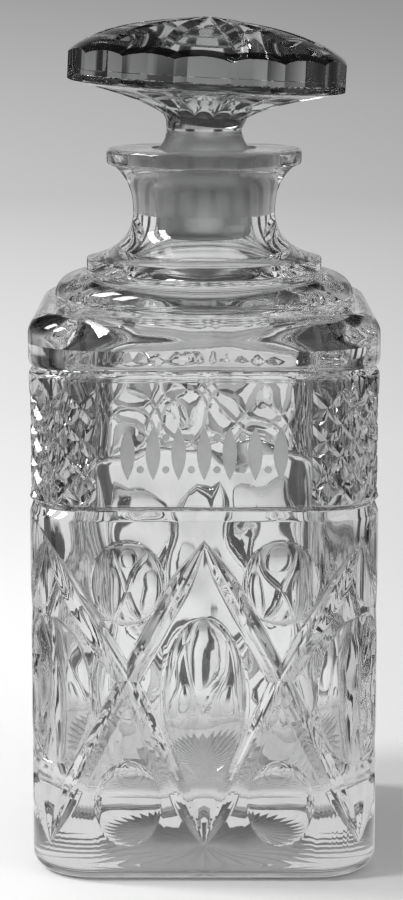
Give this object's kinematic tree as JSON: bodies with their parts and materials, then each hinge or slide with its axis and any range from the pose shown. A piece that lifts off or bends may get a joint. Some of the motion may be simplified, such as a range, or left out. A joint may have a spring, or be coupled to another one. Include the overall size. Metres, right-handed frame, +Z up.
{
  "type": "spirit decanter",
  "caption": "Square clear glass spirit decanter with mitre and lens cutting, a lattice band, a plain label panel and a fluted mushroom stopper that lifts out.",
  "frame": {"origin": "middle of the foot, on the surface that the decanter stands on", "axes": "+Z up through the neck and the stopper, -Y out of the label panel, +X to the right seen from the front"},
  "size_m": [0.0922, 0.0922, 0.226],
  "materials": {
    "clear_glass": "polished clear glass, frosted ornament on the label panel",
    "stopper_glass": "polished clear head, ground plug"
  },
  "bodies": {
    "bottle": {"bottle": "clear_glass"},
    "stopper": {"stopper": "stopper_glass"}
  },
  "joints": [
    {"name": "stopper_lift", "type": "slide", "parent": "bottle", "child": "stopper", "axis": [0, 0, 1], "range_m": [0, 0.06]}
  ]
}
